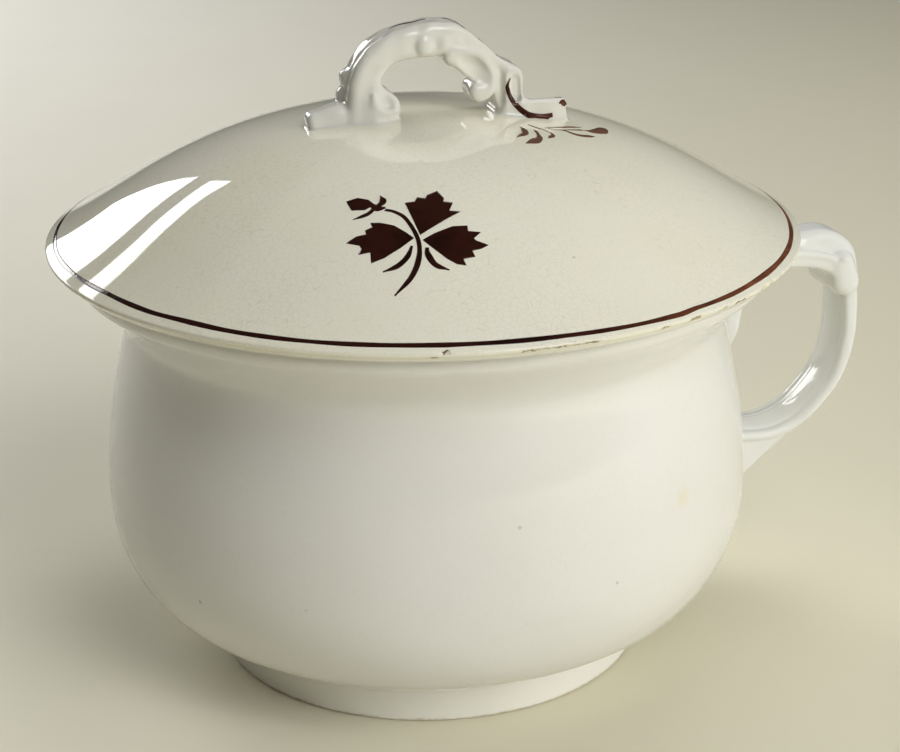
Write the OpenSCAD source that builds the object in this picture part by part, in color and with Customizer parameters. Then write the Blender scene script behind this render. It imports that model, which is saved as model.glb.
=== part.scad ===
// Lidded chamber pot of glazed ironstone: a round bowl on a foot ring with one loop handle,
// and a loose domed lid with a locating flange, an arched branch handle and painted lustre.
// Z is up, the origin is on the pot's axis at table level, and the pot's handle points along +X.

/* [Pot] */
// Height from the table to the top of the rim
pot_h = 140; // [132:1:150]
// Widest diameter of the belly
belly_d = 213.6; // [206:0.2:222]
// Height of the widest part of the belly
belly_z = 58; // [52:1:64]
// Outer diameter of the neck under the rim
neck_d = 197; // [190:1:202]
// Height of the flared rim above the neck
rim_h = 23.5; // [20:0.5:27]
// Outer diameter of the rim
rim_d = 227; // [221:1:233]
// Thickness of the rim at its edge
rim_t = 8; // [6.5:0.5:9]
// Width of the flat top of the rim that the lid sits on
rim_seat = 6.5; // [5:0.5:8]
// Thickness of the bowl's wall
wall = 5; // [4:0.25:6.5]
// Thickness of the bowl's floor
floor_t = 6; // [4:0.5:8]

/* [Foot] */
// Outer diameter of the foot ring
foot_d = 143.2; // [132:0.2:150]
// Height of the bowl's underside above the table
foot_h = 17; // [14:0.5:20]
// Width of the foot ring
foot_w = 7; // [5:0.5:10]
// Bevel along the foot ring's lower edges
foot_bevel = 0.8; // [0.4:0.1:1.6]

/* [Pot handle] */
// How far the loop stands out from the belly, to the middle of the strap
loop_reach = 43; // [36:1:50]
// Depth of the upper arm's middle below the top of the rim
arm_drop = 15; // [13:0.5:18]
// Height of the lower root's middle above the table
root_z = 49.5; // [44:0.5:56]
// Width of the strap
strap_w = 21; // [17:0.5:26]
// Thickness of the strap at the outside of the loop
strap_t = 6.5; // [4.5:0.25:8]
// Thickness of the upper arm
arm_t = 9; // [7:0.5:11]
// Thickness of the lower root
root_t = 17; // [13:0.5:19]
// Width of the leaf that lies on the upper arm
leaf_w = 25; // [20:0.5:30]
// Thickness of the leaf
leaf_t = 6; // [4.5:0.25:7.5]
// Length of the tail that runs down the neck under the arm
tail_l = 33; // [26:1:40]
// Thickness of the tail where it leaves the arm
tail_t = 8; // [6:0.5:10]

/* [Lid] */
// How far the lid stands out past the rim
lid_over = 8; // [6.5:0.5:9.5]
// Thickness of the lid at the painted band, just inside its edge
lid_edge = 4.6; // [3.6:0.2:6]
// How far the underside of the lid's edge is cut back
edge_cut = 2.8; // [2:0.2:4]
// Width of the flat underside of the lid, inside that cut
lid_seat = 12; // [10.5:0.5:13.5]
// Height of the dome's top above the seat
dome_h = 41; // [34:0.5:48]
// Thickness of the lid at its top
dome_t = 6; // [4.5:0.25:8]
// Gap all round between the flange and the bowl's mouth
lid_play = 3; // [1:0.25:5]
// Thickness of the flange
flange_t = 4; // [3:0.25:5.5]
// How far the flange hangs below the seat
flange_h = 7; // [4:0.5:11]

/* [Lid handle] */
// Distance between the middles of the arch's two legs
arch_w = 45; // [41:1:50]
// Height of the arch's middle line above the top of the dome
arch_h = 24; // [20:0.5:30]
// How far the arch sits off the lid's axis, towards the pot's handle
arch_off = 2.5; // [0:0.5:5]
// Thickness of the branch
branch_t = 11.5; // [9:0.5:13]
// Depth of the branch, front to back
branch_w = 13; // [10:0.5:16]
// Radius of the rolled scrolls beside the legs
scroll_r = 4.8; // [3.8:0.2:5.8]
// Length of the cut branch that stands out past one leg
stub_l = 6.5; // [5.5:0.5:10]
// How far the left leaf foot runs out past its leg
left_leaf = 17; // [12:1:22]
// How far the right leaf foot runs out past its leg
right_leaf = 23; // [16:1:27]
// Thickness of the leaf feet
foot_leaf_t = 8.5; // [7:0.5:11]
// Width of the leaf feet
foot_leaf_w = 17; // [12:0.5:20]

/* [Lustre] */
// Thickness given to the painted lustre
film_t = 0.2; // [0.15:0.05:0.4]
// Distance from the lid's edge to the painted band
band_inset = 2.3; // [1.8:0.1:3]
// Width of the painted band
band_w = 2.2; // [1.4:0.1:2.6]
// Distance of the front sprig's middle from the lid's edge
sprig_in = 38; // [32:0.5:45]
// Direction of the front sprig around the lid
sprig_turn = -105.3; // [-130:0.1:-80]
// Length of the front sprig's side leaves
sprig_leaf = 20; // [16:0.5:22]
// How far past the right leg of the lid's handle the side sprig's middle lies
side_out = 20; // [19:0.5:25]
// Direction of the side sprig around the lid
side_turn = -33; // [-40:1:-28]
// Length of the side sprig's leaves
side_leaf = 14; // [10:0.5:14]

/* [Hidden] */
$fn = 96;

// Steps along each smooth curve and each round edge
curve_n = 10;
arc_n = 8;
// Sides of a handle's cross-section, and rings along each half of a handle
section_n = 16;
ring_n = 14;
// Extra height that lets a cut run clean through
over = 20;

glaze = [0.90, 0.88, 0.81];
shade_glaze = [0.84, 0.82, 0.75];
lustre = [0.36, 0.20, 0.12];

belly_r = belly_d / 2;
neck_r = neck_d / 2;
rim_r = rim_d / 2;
foot_r = foot_d / 2;
neck_z = pot_h - rim_h;
mouth_r = neck_r - wall;
throat_r = rim_r - rim_t / 2 - rim_seat;

// Pull of the smooth curves at their ends
base_out = 3;
hip_run = 21;
hip_rise = 19;
belly_pull = 31;
neck_pull = 9;
flare_pull = 5.5;
flare_reach = 9;
throat_pull = 6;
base_r = foot_r + base_out;

lid_r = rim_r + lid_over;
edge_r = 0.8;
lid_top = pot_h + dome_h;
seat_in_r = lid_r - edge_cut - lid_seat;
band_out_r = lid_r - band_inset;
band_in_r = band_out_r - band_w;
dome_run = 26;
dome_slope = 0.53;
dome_crown = 68;
under_run = 27;
under_slope = 0.69;
flange_r = min(mouth_r, throat_r) - lid_play;

// The pot handle stands furthest out a little above the middle of its two roots
loop_lift = 17;
loop_x = belly_r + loop_reach;
arm_z = pot_h - arm_drop;
loop_z = (arm_z + root_z) / 2 + loop_lift;

// A point on a cubic curve with four controls
function bez(p, t) =
    let (u = 1 - t)
        u * u * u * p[0] + 3 * t * u * u * p[1] + 3 * t * t * u * p[2] + t * t * t * p[3];
// Points along a cubic curve, leaving out its first one
function curve(p, n = curve_n) = [for (i = [1:n]) bez(p, i / n)];
// Points along a cubic curve, with both ends
function whole(p) = [for (i = [0:ring_n]) bez(p, i / ring_n)];
// Points along a round edge
function arc(c, r, a0, a1) =
    [for (i = [0:arc_n])
        let (a = a0 + (a1 - a0) * i / arc_n)
            c + r * [cos(a), sin(a)]];

// The rim's round edge, and where the flare from the neck runs into it
rim_turn = -50;
rim_mid = [rim_r - rim_t / 2, pot_h - rim_t / 2];
flare_end = rim_mid + rim_t / 2 * [cos(rim_turn), sin(rim_turn)];
flare_way = [-sin(rim_turn), cos(rim_turn)];

// Outside of the bowl, from the middle of its underside to the edge of its rim
bowl_out = concat(
    [[0, foot_h], [base_r, foot_h]],
    curve([[base_r, foot_h], [base_r + hip_run, foot_h],
           [belly_r, belly_z - hip_rise], [belly_r, belly_z]]),
    curve([[belly_r, belly_z], [belly_r, belly_z + belly_pull],
           [neck_r, neck_z - neck_pull], [neck_r, neck_z]]),
    curve([[neck_r, neck_z], [neck_r, neck_z + flare_pull], flare_end - flare_reach * flare_way, flare_end]),
    arc(rim_mid, rim_t / 2, rim_turn, 90));

// Inside of the bowl, from the rim's flat top down to the middle of the floor
bowl_in = concat(
    [[throat_r, pot_h]],
    curve([[throat_r, pot_h], [throat_r - throat_pull, pot_h],
           [mouth_r, pot_h - rim_t], [mouth_r, neck_z - neck_pull]]),
    curve([[mouth_r, neck_z - neck_pull], [mouth_r, neck_z - 2 * neck_pull],
           [belly_r - wall, belly_z + belly_pull], [belly_r - wall, belly_z]]),
    curve([[belly_r - wall, belly_z], [belly_r - wall, belly_z - hip_rise],
           [base_r + hip_run - wall, foot_h + floor_t], [base_r - wall, foot_h + floor_t]]),
    [[0, foot_h + floor_t]]);

// Top of the lid, from its lower edge round and over the band and the dome to the axis
band_z = pot_h + lid_edge;
band_line = [[band_out_r, band_z], [band_in_r, band_z + dome_slope * band_w]];
dome_curve = [band_line[1], band_line[1] + dome_run * [-1, dome_slope], [dome_crown, lid_top], [0, lid_top]];
// The edge is a small round between the dome's slope and the cut under it
edge_low = -45;
edge_high = 90 - atan(dome_slope);
edge_in = band_inset - edge_r * (1 - cos(edge_high));
edge_mid = [lid_r - edge_r, band_z - dome_slope * edge_in - edge_r * sin(edge_high)];
lid_out = concat([[lid_r - edge_cut, pot_h]], arc(edge_mid, edge_r, edge_low, edge_high), band_line,
                 curve(dome_curve, 2 * curve_n));

// Underside of the lid, from the axis to the inner edge of its seat
lid_in = concat([[0, lid_top - dome_t]],
                curve([[0, lid_top - dome_t], [dome_crown - dome_t, lid_top - dome_t],
                       [seat_in_r - under_run, pot_h + under_slope * under_run],
                       [seat_in_r, pot_h]], 2 * curve_n));

// A handle's skin: an oval section carried along a path in the XZ plane
function unit(v) = v / norm(v);
function heading(path, i) = unit(path[min(i + 1, len(path) - 1)] - path[max(i - 1, 0)]);
section_power = 0.75;
function squared(c) = sign(c) * pow(abs(c), section_power);
function ring(p, d, half_t, half_w) =
    [for (k = [0:section_n - 1])
        let (turn = 360 * k / section_n,
             a = squared(cos(turn)) * half_t,
             b = squared(sin(turn)) * half_w)
            [p[0] - d[1] * a, b, p[1] + d[0] * a]];
module skin(path, half_t, half_w) {
    last = len(path) - 1;
    pts = [for (i = [0:last]) each ring(path[i], heading(path, i), half_t[i], half_w[i])];
    sides = [for (i = [0:last - 1], k = [0:section_n - 1])
        let (a = i * section_n + k, b = i * section_n + (k + 1) % section_n)
            each [[a, b, b + section_n], [a, b + section_n, a + section_n]]];
    caps = [for (k = [1:section_n - 2])
        each [[0, k + 1, k], [last * section_n, last * section_n + k, last * section_n + k + 1]]];
    polyhedron(points = pts, faces = concat(sides, caps), convexity = 6);
}
// Values that run smoothly from a to b along a path
function blend(a, b) = [for (i = [0:ring_n]) a + (b - a) * (1 - cos(180 * i / ring_n)) / 2];
// Values that swell from a thin end to the full size and back
function swell(size, thin) = [for (i = [0:ring_n]) size * (thin + (1 - thin) * sin(180 * i / ring_n))];

module bowl_body() {
    rotate_extrude() polygon(concat(bowl_out, [[0, pot_h]]));
}

module lid_body() {
    rotate_extrude() polygon(concat(lid_out, [[0, pot_h]]));
}

module pot_bowl() {
    color(glaze) rotate_extrude() polygon(concat(bowl_out, bowl_in));
}

module foot_ring() {
    color(shade_glaze) rotate_extrude() polygon([
        [foot_r - foot_w, foot_h],
        [foot_r - foot_w, foot_bevel],
        [foot_r - foot_w + foot_bevel, 0],
        [foot_r - foot_bevel, 0],
        [foot_r, foot_bevel],
        [foot_r, foot_h]]);
}

// The loop's middle line: the upper arm out from the neck, then the strap down and back to the belly
arm_rise = 4;
strap_pull = 28;
root_pull = 25;
root_rise = 2;
arm_line = whole([[mouth_r, arm_z], [neck_r + loop_reach / 2, arm_z],
                  [loop_x, arm_z + arm_rise], [loop_x, loop_z]]);
strap_line = whole([[loop_x, loop_z], [loop_x, loop_z - strap_pull],
                    [belly_r + root_pull, root_z + root_rise], [belly_r - wall, root_z]]);
loop_line = concat(arm_line, [for (i = [1:ring_n]) strap_line[i]]);
loop_t = concat(blend(arm_t, strap_t) / 2, [for (i = [1:ring_n]) blend(strap_t, root_t)[i] / 2]);
loop_w = [for (i = [0:2 * ring_n]) strap_w / 2];
// The leaf starts beside the neck, humps up over the arm and ends in a low knob outside the loop
leaf_from = 12;
leaf_lift = 2;
crest_run = 45;
crest_rise = 4.5;
corner_out = 1.5;
corner_rise = 3;
knob_out = 1.5;
knob_rise = 4;
leaf_thin = 0.35;
leaf_narrow = 0.55;
leaf_line = whole([[neck_r + leaf_from, arm_z + leaf_lift], [neck_r + crest_run, arm_z + crest_rise],
                   [loop_x + corner_out, arm_z + corner_rise], [loop_x + knob_out, loop_z + knob_rise]]);
// The tail leaves the arm beside the neck and sinks into the wall
tail_taper = 0.4;
tail_lean = 1;
tail_out = 5;
tail_x = neck_r + tail_t;
tail_line = whole([[tail_x, arm_z], [tail_x, arm_z - tail_l / 3],
                   [tail_x - tail_lean, arm_z - tail_l * 2 / 3], [neck_r + tail_out, arm_z - tail_l]]);

module pot_handle() {
    color(glaze) difference() {
        union() {
            skin(loop_line, loop_t, loop_w);
            skin(leaf_line, swell(leaf_t / 2, leaf_thin), swell(leaf_w / 2, leaf_narrow));
            skin(tail_line, blend(tail_t, tail_taper * tail_t) / 2,
                 blend(strap_w, tail_taper * strap_w) / 2);
        }
        bowl_body();
    }
}

module lid_dome() {
    color(glaze) rotate_extrude() polygon(concat(lid_out, lid_in));
}

module lid_flange() {
    color(shade_glaze) difference() {
        translate([0, 0, pot_h - flange_h]) difference() {
            cylinder(r = flange_r, h = dome_h);
            translate([0, 0, -over]) cylinder(r = flange_r - flange_t, h = dome_h + 2 * over);
        }
        rotate_extrude() polygon(concat([[seat_in_r, lid_top + over], [0, lid_top + over]], lid_in));
    }
}

// The arch's middle line, from inside the dome up one leg, over, and down the other
arch_sink = 6;
knee = 12;
left_shoulder = 0.9;
right_shoulder = 0.5;
arch_top = lid_top + arch_h;
half_arch = arch_w / 2;
function leg(side, shoulder) = whole([[arch_off + side * half_arch, lid_top - arch_sink],
                                      [arch_off + side * half_arch, lid_top + knee],
                                      [arch_off + side * half_arch * shoulder, arch_top],
                                      [arch_off, arch_top]]);
leg_left = leg(-1, left_shoulder);
leg_right = leg(1, right_shoulder);
arch_line = concat(leg_left, [for (i = [1:ring_n]) leg_right[ring_n - i]]);
arch_t = [for (i = [0:2 * ring_n]) branch_t / 2];
arch_d = [for (i = [0:2 * ring_n]) branch_w / 2];
// The point of the dome's curve at a distance r from the axis, found by halving
halvings = 14;
function dome_at(r, lo = 0, hi = 1, n = halvings) =
    let (mid = (lo + hi) / 2, p = bez(dome_curve, mid))
        n == 0 ? p : p[0] > r ? dome_at(r, mid, hi, n - 1) : dome_at(r, lo, mid, n - 1);
// A leaf foot runs in along the dome and up against its leg
foot_lift = 1;
foot_thin = 0.3;
foot_narrow = 0.5;
function foot_line(side, run) = [for (i = [0:ring_n])
    let (x = arch_off + side * (half_arch + run * (1 - i / ring_n)))
        [x, dome_at(abs(x))[1] + foot_lift]];
module foot(side, run) {
    skin(foot_line(side, run), swell(foot_leaf_t / 2, foot_thin), swell(foot_leaf_w / 2, foot_narrow));
}

// A scroll rolled against the inside of a leg, placed from that leg and from the top of the dome
low_scroll = [7.5, 1];
high_scroll = [5, 6.5];
module scroll(side, place) {
    translate([arch_off + side * (half_arch - place[0]), 0, lid_top + place[1]])
        rotate([90, 0, 0]) cylinder(r = scroll_r, h = branch_w, center = true);
}
// The cut branch leaves the right leg and dips a little
stub_rise = 7.5;
stub_dip = 1;
stub_slim = 0.9;
stub_x = arch_off + half_arch;
stub_z = lid_top + stub_rise;
stub_line = [[stub_x - branch_t / 4, stub_z + stub_dip],
             [stub_x + stub_l / 2, stub_z],
             [stub_x + stub_l, stub_z - stub_dip]];
module stub() {
    skin(stub_line, [for (p = stub_line) stub_slim * branch_t / 2],
         [for (p = stub_line) stub_slim * branch_w / 2]);
}

module lid_handle() {
    color(glaze) difference() {
        union() {
            skin(arch_line, arch_t, arch_d);
            foot(-1, left_leaf);
            foot(1, right_leaf);
            scroll(-1, low_scroll);
            scroll(1, high_scroll);
            stub();
        }
        lid_body();
    }
}

// The painted band follows the lid's surface just inside its edge
module lid_band() {
    film_line = [for (i = [1:-1:0]) band_line[i] + [0, film_t]];
    color(lustre) rotate_extrude() polygon(concat(band_line, film_line));
}

// The sprig's parts, as shares of a leaf's length: three leaves, a bud, and strokes for the stem, the
// bud's stalk and two sepals, each with its start, direction, length, bend and width
gap_share = 0.07;
leaf_turns = [3, 73, 179];
leaf_shares = [[0.36, 0.20], [0.62, 0.34], [0.70, 0.22], [0.86, 0.20]];
bud_place_shares = [-0.62, 0.72];
bud_turn = 160;
bud_share = 0.48;
stroke_shares = [[[0.01, -0.07], -84, 0.94, -0.39, 0.08],
                 [[-0.03, 0.06], 113, 0.72, 0.17, 0.06],
                 [[-0.08, -0.15], -100, 0.46, -0.33, 0.06],
                 [[0.14, -0.17], -80, 0.40, 0.28, 0.06]];
stroke_n = 8;
stroke_thin = 0.7;
// A leaf with its base at the origin and its tip along +X
module leaf(l) {
    other = [for (i = [len(leaf_shares) - 1:-1:0]) [leaf_shares[i][0], -leaf_shares[i][1]]];
    polygon(l * concat([[0, 0]], leaf_shares, [[1, 0]], other));
}
// A brush stroke that bends from the origin along +X and thins towards its end
module stroke(l, bend, w) {
    side = [for (i = [0:stroke_n]) [l * i / stroke_n, bend * pow(i / stroke_n, 2)]];
    wide = [for (i = [0:stroke_n]) [0, w / 2 * (1 - stroke_thin * i / stroke_n)]];
    polygon(concat([for (i = [0:stroke_n]) side[i] + wide[i]],
                   [for (i = [stroke_n:-1:0]) side[i] - wide[i]]));
}
module sprig(l) {
    for (turn = leaf_turns) rotate(turn) translate([l * gap_share, 0]) leaf(l * (1 - gap_share));
    translate(l * bud_place_shares) rotate(bud_turn) leaf(l * bud_share);
    for (s = stroke_shares) translate(l * s[0]) rotate(s[1]) stroke(l * s[2], l * s[3], l * s[4]);
}
// A sprig painted on the dome: its outline taken straight down onto a thin layer of the surface
module painted(r, turn, spin, l) {
    intersection() {
        rotate(turn) translate([r, 0, pot_h]) rotate(spin) linear_extrude(dome_h + over) sprig(l);
        difference() {
            translate([0, 0, film_t]) lid_body();
            lid_body();
        }
    }
}

// The front sprig grows inwards from the edge, and the side one lies aslant beside the lid's handle
sprig_r = lid_r - sprig_in;
side_r = arch_off + half_arch + side_out;
front_spin = 90;
side_spin = 52;
module lid_sprig_front() {
    color(lustre) painted(sprig_r, sprig_turn, front_spin, sprig_leaf);
}

module lid_sprig_side() {
    color(lustre) painted(side_r, side_turn, side_spin, side_leaf);
}

pot_bowl();
foot_ring();
pot_handle();
lid_dome();
lid_flange();
lid_handle();
lid_band();
lid_sprig_front();
lid_sprig_side();
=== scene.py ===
"""Lidded chamber pot: glazed pottery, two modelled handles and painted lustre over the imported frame."""
import math
import bpy
import numpy as np
from mathutils import Matrix, Vector


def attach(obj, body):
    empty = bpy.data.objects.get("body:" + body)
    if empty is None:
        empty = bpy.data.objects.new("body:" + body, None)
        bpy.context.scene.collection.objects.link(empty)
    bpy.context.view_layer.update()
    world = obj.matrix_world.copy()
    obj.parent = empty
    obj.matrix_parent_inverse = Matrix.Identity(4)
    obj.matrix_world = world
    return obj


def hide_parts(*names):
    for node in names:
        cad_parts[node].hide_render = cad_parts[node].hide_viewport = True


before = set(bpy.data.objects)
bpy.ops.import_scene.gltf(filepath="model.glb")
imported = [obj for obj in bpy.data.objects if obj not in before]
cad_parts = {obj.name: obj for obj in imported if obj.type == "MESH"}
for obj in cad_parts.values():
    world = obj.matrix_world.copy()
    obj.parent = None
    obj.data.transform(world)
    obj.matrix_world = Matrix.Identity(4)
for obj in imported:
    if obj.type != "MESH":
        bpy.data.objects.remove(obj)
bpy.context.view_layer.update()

# All shapes are worked out in millimetres and scaled once, when a mesh is made
MM = 0.001
# Points of a profile closer than this, in millimetres, count as one
MERGE = 0.02
# Turn of the front view about the upright axis
VIEW_TURN = math.radians(14.0)


# Curves and small helpers
def bezier(a, b, c, d, count=24):
    """Points of a cubic Bezier curve, both ends included."""
    t = np.linspace(0.0, 1.0, count)[:, None]
    ends = (1 - t) ** 3 * np.array(a) + t ** 3 * np.array(d)
    return ends + 3 * t * (1 - t) ** 2 * np.array(b) + 3 * t * t * (1 - t) * np.array(c)


def arc(centre, radius, start, end, count=12):
    """Points of a circular arc, angles in degrees."""
    turn = np.radians(np.linspace(start, end, count))
    return np.array(centre) + radius * np.stack([np.cos(turn), np.sin(turn)], -1)


def line(a, b, count=2):
    """Points of a straight line, both ends included."""
    return np.linspace(a, b, count)


def joined(*runs):
    """Runs of points as one run, without the points that repeat where two runs meet."""
    points = np.concatenate(runs)
    steps = np.linalg.norm(np.diff(points, axis=0), axis=1)
    return points[np.concatenate([[True], steps > MERGE])]


def smooth_curve(points, count):
    """A smooth curve through the given points (Catmull-Rom), evenly spaced by length."""
    p = np.array(points, float)
    p = np.concatenate([[2 * p[0] - p[1]], p, [2 * p[-1] - p[-2]]])
    t = np.linspace(0.0, 1.0, 16, endpoint=False)[:, None]
    runs = []
    for i in range(1, len(p) - 2):
        a = 2 * p[i]
        b = p[i + 1] - p[i - 1]
        c = 2 * p[i - 1] - 5 * p[i] + 4 * p[i + 1] - p[i + 2]
        d = 3 * (p[i] - p[i + 1]) + p[i + 2] - p[i - 1]
        runs.append(0.5 * (a + b * t + c * t * t + d * t ** 3))
    fine = np.concatenate(runs + [p[-2:-1]])
    run = np.concatenate([[0.0], np.cumsum(np.linalg.norm(np.diff(fine, axis=0), axis=1))])
    even = np.linspace(0.0, run[-1], count)
    return np.stack([np.interp(even, run, fine[:, k]) for k in range(fine.shape[1])], -1)


def spread(t, values):
    """Values given at even steps from 0 to 1, read off smoothly at t."""
    values = np.array(values, float)
    place = np.clip(t, 0.0, 1.0) * (len(values) - 1)
    low = np.minimum(place.astype(int), len(values) - 2)
    share = place - low
    share = share * share * (3 - 2 * share)
    return values[low] * (1 - share) + values[low + 1] * share


def from_view(x, y, z):
    """A place to the right of, beyond and above the pot in the front view, in the frame's own axes."""
    c, s = math.cos(VIEW_TURN), math.sin(VIEW_TURN)
    return Vector((c * x + s * y, -s * x + c * y, z))


# Making pieces
def piece(name, points, faces, body, slot, material, *nodes):
    """A closed, smooth-shaded mesh in place of the named CAD nodes."""
    mesh = bpy.data.meshes.new(name)
    mesh.from_pydata((np.array(points) * MM).tolist(), [], [list(f) for f in faces])
    mesh.update()
    mesh.shade_smooth()
    mesh.materials.append(material)
    obj = bpy.data.objects.new(name, mesh)
    bpy.context.scene.collection.objects.link(obj)
    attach(obj, body)
    if nodes:
        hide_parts(*nodes)


def turned(profile, segments, closed, relief=None):
    """Points and faces of a profile of (radius, height) turned about the upright axis.

    A profile that isn't closed starts and ends on the axis."""
    turn = np.linspace(0.0, 2 * math.pi, segments, endpoint=False)
    rings = profile if closed else profile[1:-1]
    r = np.repeat(rings[:, :1], segments, axis=1)
    z = np.repeat(rings[:, 1:], segments, axis=1)
    if relief is not None:
        r, z = relief(r, z, np.broadcast_to(turn, r.shape))
    points = np.stack([r * np.cos(turn), r * np.sin(turn), z], -1).reshape(-1, 3)
    here = np.arange(segments)
    then = (here + 1) % segments
    faces = []
    count = len(rings)
    for i in range(count if closed else count - 1):
        a = i * segments
        b = ((i + 1) % count) * segments
        faces.extend(np.stack([a + here, a + then, b + then, b + here], -1).tolist())
    if not closed:
        first = len(points)
        points = np.concatenate([points, [[0, 0, profile[0, 1]], [0, 0, profile[-1, 1]]]])
        last = (count - 1) * segments
        faces.extend(np.stack([then, here, np.full(segments, first)], -1).tolist())
        faces.extend(np.stack([last + here, last + then, np.full(segments, first + 1)], -1).tolist())
    return points, faces


# Profiles of the turned bodies: radii and heights in millimetres
FOOT_IN = 64.6
FOOT_OUT = 71.6
FOOT_TOP = 17.0
FOOT_BEND = 12.5
FOOT_EDGE = 0.9
FOOT_LIP = (62.4, 74.0)
FOOT_LIP_Z = (17.2, 17.6)
BASE_R = 74.6
BELLY_R = 106.8
BELLY_Z = 58.0
NECK_R = 98.5
NECK_Z = 116.5
WALL = 5.0
FLOOR_Z = 23.0
MOUTH_R = 93.5
MOUTH_Z = 107.5
THROAT_R = 103.0
RIM_TOP = 140.0
RIM_MID = (109.5, 136.0)
RIM_ROUND = 4.0
SEAT_IN = 106.7
SEAT_OUT = 118.7
BAND_R = 118.3
EDGE_R = 121.5
EDGE_MID = (120.7, 142.9)
EDGE_ROUND = 0.8
DOME_FOOT = (118.1, 145.2)
DOME_TOP = 181.0
DOME_UNDER = 175.0
UNDER_COUNT = 60
FLANGE_IN = 86.5
FLANGE_OUT = 90.5
FLANGE_ROUND = 1.4
FLANGE_LOW = 134.4
FLANGE_SINK = 0.6

bowl_outside = joined(
    line((0, FOOT_TOP), (BASE_R, FOOT_TOP), 10),
    bezier((BASE_R, FOOT_TOP), (95.6, FOOT_TOP), (BELLY_R, 39), (BELLY_R, BELLY_Z), 34),
    bezier((BELLY_R, BELLY_Z), (BELLY_R, 89), (NECK_R, 107.5), (NECK_R, NECK_Z), 48),
    bezier((NECK_R, NECK_Z), (NECK_R, 122), (105.18, 127.15), (112.07, 132.94), 36),
    arc(RIM_MID, RIM_ROUND, -50, 90, 20),
)
bowl_inside = joined(
    line((RIM_MID[0], RIM_TOP), (THROAT_R, RIM_TOP), 4),
    bezier((THROAT_R, RIM_TOP), (97, RIM_TOP), (MOUTH_R, 132), (MOUTH_R, MOUTH_Z), 24),
    bezier((MOUTH_R, MOUTH_Z), (MOUTH_R, 98.5), (BELLY_R - WALL, 89), (BELLY_R - WALL, BELLY_Z), 32),
    bezier((BELLY_R - WALL, BELLY_Z), (BELLY_R - WALL, 39), (90.6, FLOOR_Z), (BASE_R - WALL, FLOOR_Z), 24),
    line((BASE_R - WALL, FLOOR_Z), (0, FLOOR_Z), 10),
)
bowl_profile = joined(bowl_outside, bowl_inside)

foot_profile = joined(
    arc((FOOT_IN + FOOT_EDGE, FOOT_EDGE), FOOT_EDGE, 180, 270, 7),
    arc((FOOT_OUT - FOOT_EDGE, FOOT_EDGE), FOOT_EDGE, 270, 360, 7),
    line((FOOT_OUT, FOOT_EDGE), (FOOT_OUT, FOOT_BEND), 8),
    bezier((FOOT_OUT, FOOT_BEND), (FOOT_OUT, 15.4), (72.3, 16.8), (FOOT_LIP[1], FOOT_LIP_Z[0]), 10),
    line((FOOT_LIP[1], FOOT_LIP_Z[0]), (FOOT_LIP[1], FOOT_LIP_Z[1]), 2),
    line((FOOT_LIP[1], FOOT_LIP_Z[1]), (FOOT_LIP[0], FOOT_LIP_Z[1]), 6),
    line((FOOT_LIP[0], FOOT_LIP_Z[1]), (FOOT_LIP[0], FOOT_LIP_Z[0]), 2),
    bezier((FOOT_LIP[0], FOOT_LIP_Z[0]), (64.0, 16.8), (FOOT_IN, 15.4), (FOOT_IN, FOOT_BEND), 10),
    line((FOOT_IN, FOOT_BEND), (FOOT_IN, FOOT_EDGE), 8),
)[:-1]

lid_under_edge = joined(
    line((SEAT_OUT, RIM_TOP), (121.27, 142.33), 6),
    arc(EDGE_MID, EDGE_ROUND, -45, 0, 6),
)
lid_over_edge = joined(
    arc(EDGE_MID, EDGE_ROUND, 0, 62, 7),
    line((121.08, 143.61), DOME_FOOT, 8),
    bezier(DOME_FOOT, (92.1, 159.0), (68, DOME_TOP), (0, DOME_TOP), 96),
)
lid_surface = lid_over_edge[::-1]
lid_inside = joined(
    bezier((0, DOME_UNDER), (62, DOME_UNDER), (79.7, 158.63), (SEAT_IN, RIM_TOP), UNDER_COUNT),
    line((SEAT_IN, RIM_TOP), (SEAT_OUT, RIM_TOP), 6),
)
lid_profile = joined(lid_inside, lid_under_edge, lid_over_edge)


def lid_height(r):
    """Height of the lid's glazed top at a radius, on its plain profile."""
    return np.interp(r, lid_surface[:, 0], lid_surface[:, 1])


# Soft radial folds where the dome's moulded panels meet: direction, rise and width
FOLDS = [(-139, 0.30, 5.0), (-68, 0.28, 5.0), (-48, 0.14, 6.0), (41, 0.24, 5.0), (112, 0.24, 5.0)]

# Chips in the lid's edge: direction, height, half length, half height, depth and how rusty the bare clay is
CHIPS = [(-101.3, 143.4, 1.3, 0.55, 0.50, 1.0), (-102.9, 141.9, 1.5, 0.35, 0.30, 0.9),
         (-90.4, 142.5, 2.4, 0.40, 0.30, 0.7), (-86.0, 142.7, 9.0, 0.25, 0.20, 0.35),
         (-85.6, 142.6, 2.2, 0.40, 0.30, 0.8), (-81.6, 142.7, 2.8, 0.30, 0.25, 0.7),
         (-70.0, 142.4, 1.4, 0.65, 0.40, 0.6), (-64.4, 142.5, 2.4, 0.80, 0.50, 0.6),
         (-58.4, 142.5, 1.6, 0.65, 0.40, 0.3), (-54.4, 142.6, 3.6, 0.32, 0.30, 0.9),
         (-47.6, 142.7, 1.2, 0.70, 0.60, 0.1), (-45.0, 142.8, 1.0, 0.80, 0.60, 0.2),
         (-41.4, 142.8, 1.1, 0.70, 0.55, 0.1), (34.0, 142.6, 1.8, 0.45, 0.40, 0.5),
         (121.0, 142.6, 1.5, 0.50, 0.45, 0.6), (-160.0, 142.5, 1.2, 0.40, 0.30, 0.6)]

CHIP_IN = 117.5


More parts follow.
